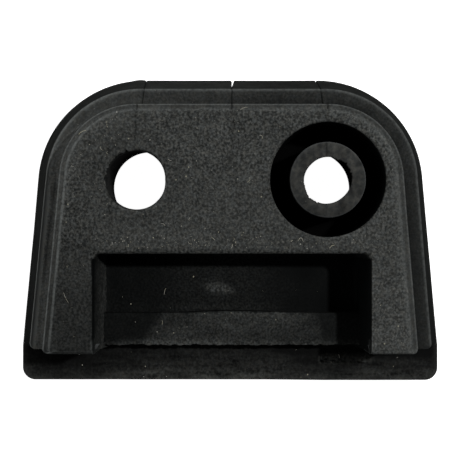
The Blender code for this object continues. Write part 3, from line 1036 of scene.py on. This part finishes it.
def make_strip():
    """Its top swells a little, its upper edge bows up, and its lower edge is torn."""
    low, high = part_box("pocket_strip")
    foot = low.y / MM - MIDDLE[1]
    columns, rows = 260, 18
    into_walls = 0.7  # the strip's ends reach into the rounded foot of the pocket's walls
    xs = np.linspace(low.x / MM - into_walls, high.x / MM + into_walls, columns) - MIDDLE[0]
    flat = np.column_stack((xs, np.zeros(columns), np.zeros(columns)))
    ragged = 0.22 * rough(flat, 1.5, 3) + 0.13 * rough(flat, 0.55, 4) + 0.12 * rough(flat, 5.0, 9)
    edge = strip_edge(xs)
    rings = []
    for i, x in enumerate(xs):
        lower, upper = foot + ragged[i] + 0.1, edge[i]
        share = np.linspace(0, 1, rows)
        y = lower + (upper - lower) * share
        lip = 0.25 * near(y, lower, 0.6)
        z = STRIP_TOP - 0.12 + 0.18 * np.sin(share * math.pi) ** 0.6 + lip - 0.2 * share**8
        over = np.column_stack((np.full(rows, x), y, z))
        under = [(x, upper + 0.05, STRIP_FOOT + 0.6), (x, upper - 0.1, STRIP_FOOT)]
        under += [(x, foot + 0.4, STRIP_FOOT), (x, lower + 0.35, STRIP_TOP - 0.9)]
        rings.append(np.concatenate((over, under)))
    sides = len(rings[0])
    strip = add_piece("pocket_strip_visual", np.concatenate(rings), capped(columns, sides))
    soften_surface(strip, 0.03)
    finish_piece(strip, STRIP_RUBBER, "pocket_strip", strip_dust_and_painted_shade, nothing)


def strip_dust_and_painted_shade(points, normals):
    """A scuffed patch with a slanting left end, and a pale torn lip; a painted shade line runs under the
    bowed middle of the upper edge, whose upper side is painted lighter beyond it.
    """
    x, y = points.T[:2]
    down = ramp(y, -28.6, -35.6)
    upper = np.interp(x, (-16, -10, -2, 11, 19), (0.3, 0.5, 0.82, 0.72, 0.45))
    lower = np.interp(x, (-20, -12, 0, 11, 19), (0.5, 0.7, 0.45, 0.3, 0.28))
    patch = ramp(x - (y + 35.5) * 0.62, -20.8, -18.8) * ramp(x + 1.5 * near(down, 0, 0.3), 20.8, 19.3)
    uneven = 1 + 0.25 * rough(points, 3.5, 12) + 0.2 * rough(points, 1.1, 13)
    lip = np.interp(x, (-27, -22, -12, 0, 12, 19, 25), (0.2, 0.65, 0.8, 0.65, 0.5, 0.4, 0.3))
    lip *= near(y, -35.9, 0.75) * (0.9 + 0.5 * rough(points, 0.9, 14))
    top = 0.1 + patch * ((upper + (lower - upper) * down) * uneven - 0.1) + lip
    # Painted shade: a dark line along the upper edge where it bows up from the floor.
    top *= 1 - 0.8 * near(y, strip_edge(x) - 0.05, 0.2) * (np.abs(x + 1) < 10)
    # Painted light and shade: the upper side stays bare and dark under the bowed middle, and is lightened
    # beyond it.
    side = 0.02 + 0.4 * ramp(np.abs(x + 1), 10, 12) * (normals[:, 1] > 0.3)
    return np.where(normals[:, 2] > 0.2, top, side)


# ---------------- flash, lint and dust


def make_flash():
    """Two scraps of torn flash at the feet of the pocket's walls."""
    shape = ((0, -0.15), (0.35, 0.25), (0.55, 0.62), (1, 1), (0.3, 0.9), (0, 0.75))
    low, high = FACE_TOP - 1.6, FACE_TOP - 1.25
    points, faces = [], []
    for side, width, rise in ((-1, 1.5, 1.5), (1, 0.5, 1.2)):
        x, y = side * (POCKET_WIDTH / 2 - 0.05), -35.6
        outline = [(x - side * width * across, y + (rise * up if up > 0 else up)) for across, up in shape]
        first, count = len(points), len(outline)
        points += [(*spot, z) for z in (low, high) for spot in outline]
        faces += [[first + i for i in range(count)], [first + count + i for i in range(count)]]
        faces += [[first + i for i in wall] for wall in walls(2, count)]
    flash = add_piece("torn_flash", points, faces)
    soften = flash.modifiers.new("soften", "SUBSURF")
    soften.levels = 2
    soften.render_levels = 2
    finish_piece(flash, BUSH_RUBBER, None, lambda points, _: np.full(len(points), 0.75))


# Lint fibres that stand out: both ends, sideways bow as a share of the length, and radius
FIBRES = (
    (-31.8, 9.3, -30.2, 10.2, 0.1, 0.07), (1.7, 14.4, 3.3, 15, 0.1, 0.04),
    (5.7, 9.2, 6.3, 8.4, 0.3, 0.04), (3.1, -0.6, 3.7, 0.5, -0.25, 0.04),
    (13.7, -12.8, 14.8, -12.9, 0.7, 0.05), (20.2, -14.3, 21.3, -13.6, 0.15, 0.05),
    (-34.9, -23.4, -33.85, -25.6, -0.04, 0.03), (-15.35, -25.1, -15, -23.6, 0.08, 0.045),
    (-15.6, -30.6, -15.6, -31.6, 0.1, 0.05), (24.9, -39.3, 25.1, -40.2, 0.1, 0.07),
)
# Flecks of dust that stand out: place and size
FLECKS = (
    (-23.9, 14, 0.15), (-17, 8.2, 0.12), (-9.8, 14.1, 0.1), (1.4, 10, 0.17),
    (1.2, 0.1, 0.12), (14.2, -13.4, 0.12), (-16.3, -12.1, 0.14), (-21.5, -13.9, 0.12),
    (-8.7, -21, 0.2), (-23, -27.2, 0.15), (-16.7, -33.2, 0.17), (-13, -33.4, 0.14),
    (-10, -32.1, 0.13), (-34.8, -41.8, 0.15), (-20.1, -42.1, 0.15), (23.2, -41.1, 0.1),
    (17.7, -44, 0.17), (-20.5, -44.5, 0.12), (-15.2, -44.45, 0.11),
)


def level_at(x, y):
    """The height that dust lies at there, or None over the holes, the moat and the edges."""
    if y < -37.5:
        return PLATE_TOP
    if over_pocket(x, y):
        return None if y < -35.5 or -16.5 < y else STRIP_TOP if y < -29 else POCKET_FLOOR
    clear = math.hypot(x + HOLE_X, y) > 7.2 and math.hypot(x - HOLE_X, y) > 12.8
    return FACE_TOP if -34 < y < 13.6 and within(13.6, x, y) and clear else None


def scattered(draw, count):
    """Random spots, mostly on the face, denser above the pocket and in the upper left corner."""
    spots = []
    while len(spots) < count:
        kind = draw.random()
        if kind < 0.3:
            x, y = draw.uniform(-29, 28), -14.3 + abs(draw.gauss(0, 1.6))
        elif kind < 0.42:
            x, y = draw.uniform(-36, -22), draw.uniform(0, 13)
        else:
            x, y = draw.uniform(-43, 43), draw.uniform(-43.5, 13)
        level = level_at(x, y)
        if level is not None and (level == FACE_TOP or draw.random() < 0.3):
            spots.append((x, y, level))
    return spots


def tube(path, radius, sides=6):
    """Points and faces of a thin closed tube along a path."""
    path = np.array(path)
    along = np.gradient(path, axis=0)
    along /= np.linalg.norm(along, axis=1, keepdims=True)
    across = np.cross(along, (0, 0, 1))
    across /= np.linalg.norm(across, axis=1, keepdims=True)
    up = np.cross(across, along)
    radii = np.full(len(path), radius)
    radii[[0, -1]] *= 0.35
    rings = []
    for turn in np.arange(sides) / sides * math.tau:
        rings.append(path + radii[:, None] * (across * math.cos(turn) + up * math.sin(turn)))
    return list(np.stack(rings, 1).reshape(-1, 3)), capped(len(path), sides)


def make_fibres():
    """Short bowed lint fibres lying on the pad."""
    draw = random.Random(29)
    fibres = list(FIBRES)
    for x, y, _ in scattered(draw, 12):
        heading, length = draw.uniform(0, math.tau), draw.uniform(0.4, 1.0)
        end = (x + length * math.cos(heading), y + length * math.sin(heading))
        fibres.append((x, y, *end, draw.uniform(-0.3, 0.3), draw.uniform(0.025, 0.045)))
    points, faces = [], []
    for x0, y0, x1, y1, bow, radius in fibres:
        level = level_at(x0, y0) or FACE_TOP - 0.1
        path = []
        for t in np.linspace(0, 1, 9):
            side = bow * math.sin(t * math.pi)
            x, y = x0 + (x1 - x0) * t - (y1 - y0) * side, y0 + (y1 - y0) * t + (x1 - x0) * side
            path.append((x, y, level + radius * 0.8 + 0.05 * math.sin(t * math.pi)))
        ring_points, ring_faces = tube(path, radius)
        faces += [[len(points) + i for i in face] for face in ring_faces]
        points += ring_points
    finish_piece(add_piece("lint_fibres", points, faces), LINT, None, nothing)


def make_flecks():
    """Flattened flecks of dust lying on the pad."""
    draw = random.Random(31)
    flecks = [(x, y, level_at(x, y) or FACE_TOP - 0.1, size) for x, y, size in FLECKS]
    flecks += [(*spot, draw.choice((0.04, 0.05, 0.06, 0.075, 0.1))) for spot in scattered(draw, 230)]
    shape = bmesh.new()
    for x, y, z, size in flecks:
        lump = bmesh.ops.create_icosphere(shape, subdivisions=1, radius=1)["verts"]
        for vertex in lump:
            vertex.co *= size * draw.uniform(0.75, 1.2)
            vertex.co.x *= draw.uniform(0.9, 1.1)
            vertex.co.z *= 0.45
            vertex.co += Vector((x, y, z + 0.02))
    points = [tuple(vertex.co) for vertex in shape.verts]
    shape.verts.index_update()
    faces = [[vertex.index for vertex in face.verts] for face in shape.faces]
    shape.free()
    finish_piece(add_piece("dust_flecks", points, faces), LINT, None, nothing)


# ---------------- stage, light and camera

VIEW_WIDTH = 95.36  # what the picture's width spans at the level of the face
VIEW_HEIGHT = 150.0  # the camera's height above the face
VIEW_CENTRE = (-0.39, -11.82)  # where it stands over the pad, from the middle of the holes
VIEW_SHIFT = 0.0141  # how far the lens is shifted upwards, as a share of the picture's width
DOME = ((0.0, 1.0), (1.0, 0.05), (0.3, 0.9), (0.5, 0.35), (0.75, 0.08))  # brightness by height in the sky
DOME_SIDE = (-0.75, 0.66, 0.0)  # the side that the dome is brightest on
DOME_STRENGTH = 2.2


def finish_stage(name, hidden_from):
    """Makes the newest object glow pale, and hides it from some kinds of rays."""
    piece = bpy.context.object
    piece.name = name
    for rays in hidden_from:
        setattr(piece, "visible_" + rays, False)
    m = Surface("pale_" + name)
    m.set(Base_Color=(0.85, 0.85, 0.85, 1), Roughness=0.8)
    m.set(Emission_Color=(1, 1, 1, 1), Emission_Strength=1.0)
    piece.data.materials.append(m.material)


def make_floor():
    """A pale floor that throws no light back on the pad."""
    bpy.ops.mesh.primitive_plane_add(size=4, location=(0, 0, CAD_BOX[0].z - 0.05 * MM))
    finish_stage("floor", ("diffuse", "glossy"))


def make_backdrop():
    """A pale shell behind everything that only the camera sees."""
    bpy.ops.mesh.primitive_uv_sphere_add(radius=3)
    finish_stage("backdrop", ("diffuse", "glossy", "transmission", "volume_scatter", "shadow"))


def add_light(name, place, target, size, power):
    light = bpy.data.lights.new(name, "AREA")
    light.shape = "DISK"
    light.size = size
    light.energy = power
    lamp = add_object(name, light)
    lamp.location = place
    lamp.rotation_mode = "QUATERNION"
    lamp.rotation_quaternion = (Vector(place) - Vector(target)).to_track_quat("Z", "Y")
    return lamp


def make_lights():
    key = Vector(KEY_PLACE + MIDDLE) * MM
    add_light("key", key, Vector(MIDDLE) * MM, 0.022, 1.2)
    under = Vector((MIDDLE[0] - HOLE_X - 2.5, MIDDLE[1] - 3.0, -0.03)) * MM
    glow = add_light("under_bolt_hole", under, under + Vector((0, 0, 1)), 0.009, 0.00018)
    glow.visible_camera = False


def make_world():
    """A soft dome, dark below the horizon and overhead, and brightest towards one side."""
    world = bpy.data.worlds.new("studio")
    bpy.context.scene.world = world
    world.use_nodes = True
    tree = world.node_tree
    place = add_node(tree, "TexCoord", {}).outputs["Generated"]
    height = add_node(tree, "SeparateXYZ", {0: place}).outputs["Z"]
    dome = add_node(tree, "ValToRGB", {0: height})
    stops = dome.color_ramp.elements
    for i, (at, strength) in enumerate(DOME):
        stop = stops[i] if i < 2 else stops.new(at)
        stop.position = at
        stop.color = (strength, strength, strength, 1)
    side = add_node(tree, "VectorMath", {0: place, 1: DOME_SIDE}, operation="DOT_PRODUCT").outputs["Value"]
    inputs = {"Value": side, "From Min": -0.5, "From Max": 1.0, "To Min": 0.04, "To Max": 1.0}
    turned = add_node(tree, "MapRange", inputs).outputs["Result"]
    strength = add_sum(tree, "MULTIPLY", turned, DOME_STRENGTH)
    strength = add_sum(tree, "MULTIPLY", strength, add_sum(tree, "GREATER_THAN", height, -0.001))
    shown = {"Color": dome.outputs["Color"], "Strength": strength}
    fill_in(tree, tree.nodes["Background"].inputs, shown)


def make_camera():
    camera = bpy.data.cameras.new("camera")
    camera.sensor_width = 36
    camera.lens = camera.sensor_width * VIEW_HEIGHT / VIEW_WIDTH
    camera.shift_y = VIEW_SHIFT
    camera.clip_start = 0.01
    stand = add_object("camera", camera)
    x, y = MIDDLE[0] + VIEW_CENTRE[0], MIDDLE[1] + VIEW_CENTRE[1]
    stand.location = (x * MM, y * MM, (FACE_TOP + VIEW_HEIGHT) * MM)
    bpy.context.scene.camera = stand
    bpy.context.scene.view_settings.view_transform = "Standard"


def finish_steel():
    """The stiffener keeps its CAD shape, between the plate and the body."""
    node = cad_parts["stiffener_plate"]
    node.data.materials.clear()
    node.data.materials.append(zinc())


LINT = lint()
make_camera()
make_body()
make_plate()
make_bush()
make_strip()
make_flash()
make_fibres()
make_flecks()
finish_steel()
make_floor()
make_backdrop()
make_lights()
make_world()
